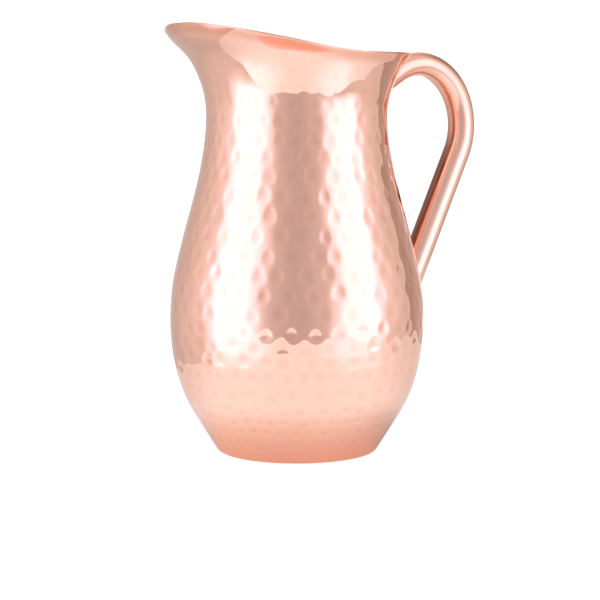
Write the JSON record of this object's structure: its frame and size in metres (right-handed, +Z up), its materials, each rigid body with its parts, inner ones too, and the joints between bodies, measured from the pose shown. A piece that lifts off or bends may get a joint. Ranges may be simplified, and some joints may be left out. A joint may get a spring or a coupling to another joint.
{
  "type": "copper water jug",
  "caption": "Hammered copper water jug: round belly, narrow neck, oblique flared rim with a pouring lip, flat base and a bent tube handle.",
  "frame": {"origin": "on the axis of the body, in the plane of the base that the jug stands on", "axes": "+Z up along the body's axis, +X from the axis towards the handle, so the pouring lip is on -X; +Y completes the frame and is square to the plane of the handle"},
  "size_m": [0.1851, 0.1372, 0.2283],
  "materials": {
    "hammered_copper": "hammered and mirror polished copper",
    "polished_copper": "smooth mirror polished copper",
    "base_copper": "satin turned copper",
    "braze_alloy": "filed pale braze"
  },
  "bodies": {
    "root": {"body_shell": "hammered_copper", "base_disc": "base_copper", "base_seam_braze": "braze_alloy", "handle_tube": "polished_copper", "upper_handle_braze": "braze_alloy", "lower_handle_braze": "braze_alloy"}
  },
  "joints": []
}
